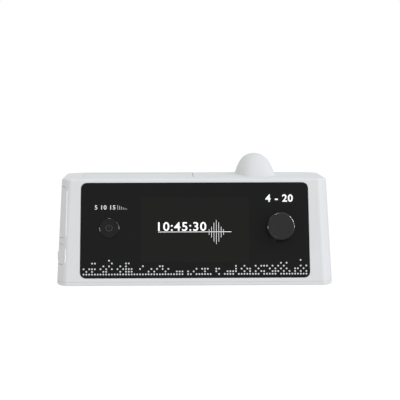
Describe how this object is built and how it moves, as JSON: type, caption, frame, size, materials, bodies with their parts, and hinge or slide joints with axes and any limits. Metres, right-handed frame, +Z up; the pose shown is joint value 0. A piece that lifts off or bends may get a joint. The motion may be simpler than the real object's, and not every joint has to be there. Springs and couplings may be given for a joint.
{
  "type": "cpap machine",
  "caption": "Bedside CPAP machine with a leaning black front panel, screen, turning knob, power button, side doors, water tank under a lid and a cowled rear hose outlet.",
  "frame": {"origin": "middle of the footprint, on the surface the feet stand on", "axes": "+X to the right of someone facing the screen, +Y away from them towards the hose outlet, +Z up"},
  "size_m": [0.2766, 0.147, 0.1267],
  "materials": {
    "white_case": "satin moulded ABS",
    "black_acrylic": "polished",
    "black_plastic": "satin",
    "dark_knob": "satin with a polished rim",
    "grey_rubber": "matt",
    "grey_plastic": "matt moulded",
    "pale_foam": "open-cell foam",
    "dark_foam": "open-cell foam",
    "clear_plastic": "clear moulded",
    "steel": "bright",
    "aluminium": "machined",
    "green_board": "solder mask"
  },
  "bodies": {
    "machine": {"front_housing": "white_case", "rear_housing": "white_case", "top_cover": "white_case", "base_plate": "white_case", "front_panel": "black_acrylic", "display_module": "black_plastic", "power_inlet": "black_plastic", "foot_1": "grey_rubber", "foot_2": "grey_rubber", "foot_3": "grey_rubber", "foot_4": "grey_rubber", "blower_mount": "grey_rubber", "blower_duct": "grey_rubber", "tank_seal": "grey_rubber", "encoder_body": "grey_plastic", "power_switch": "grey_plastic", "intake_duct": "grey_plastic", "muffler_box": "grey_plastic", "blower_lower": "grey_plastic", "blower_upper": "grey_plastic", "tank_bay": "grey_plastic", "heater_bracket": "grey_plastic", "outlet_duct": "grey_plastic", "air_outlet": "grey_plastic", "filter_foam": "pale_foam", "muffler_foam": "dark_foam", "water_tank": "clear_plastic", "tank_cover": "clear_plastic", "base_screw_1": "steel", "base_screw_2": "steel", "base_screw_3": "steel", "base_screw_4": "steel", "filter_door_pin": "steel", "card_door_pin": "steel", "lid_pin": "steel", "tank_disc": "steel", "card_socket": "steel", "blower_motor": "aluminium", "heater_plate": "aluminium", "front_board": "green_board", "card_board": "green_board", "main_board": "green_board"},
    "knob_press": {"push_collar": "grey_plastic"},
    "knob": {"control_knob": "dark_knob", "encoder_shaft": "steel"},
    "power_button": {"power_button": "black_plastic"},
    "filter_door": {"filter_door": "white_case"},
    "card_door": {"card_door": "white_case"},
    "memory_card": {"memory_card": "black_plastic"},
    "tank_lid": {"tank_lid": "white_case"},
    "impeller": {"impeller": "clear_plastic"}
  },
  "joints": [
    {"name": "knob_push", "type": "slide", "parent": "machine", "child": "knob_press", "axis": [0, 0.9781, -0.2079], "range_m": [0, 0.0008], "stiffness_N_per_m": 3000},
    {"name": "knob_turn", "type": "hinge", "parent": "knob_press", "child": "knob", "pos_m": [0.0854, -0.0607, 0.05787], "axis": [0, 0.9781, -0.2079], "continuous": true},
    {"name": "power_button_push", "type": "slide", "parent": "machine", "child": "power_button", "axis": [0, 0.9781, -0.2079], "range_m": [0, 0.0005], "stiffness_N_per_m": 3000},
    {"name": "filter_door_hinge", "type": "hinge", "parent": "machine", "child": "filter_door", "pos_m": [-0.13422, 0.014, 0.048], "axis": [-0.0452, 0, -0.999], "range_deg": [0, 90]},
    {"name": "card_door_hinge", "type": "hinge", "parent": "machine", "child": "card_door", "pos_m": [-0.13541, -0.02, 0.0219], "axis": [-0.0452, 0, -0.999], "range_deg": [0, 90]},
    {"name": "memory_card_push", "type": "slide", "parent": "machine", "child": "memory_card", "axis": [1, 0, 0], "range_m": [0, 0.001], "stiffness_N_per_m": 1500},
    {"name": "tank_lid_hinge", "type": "hinge", "parent": "machine", "child": "tank_lid", "pos_m": [-0.057, 0.054, 0.1034], "axis": [-1, 0, 0], "range_deg": [0, 88]},
    {"name": "impeller_spin", "type": "hinge", "parent": "machine", "child": "impeller", "pos_m": [0.09, -0.016, 0.02], "axis": [0, 0, 1], "continuous": true}
  ]
}
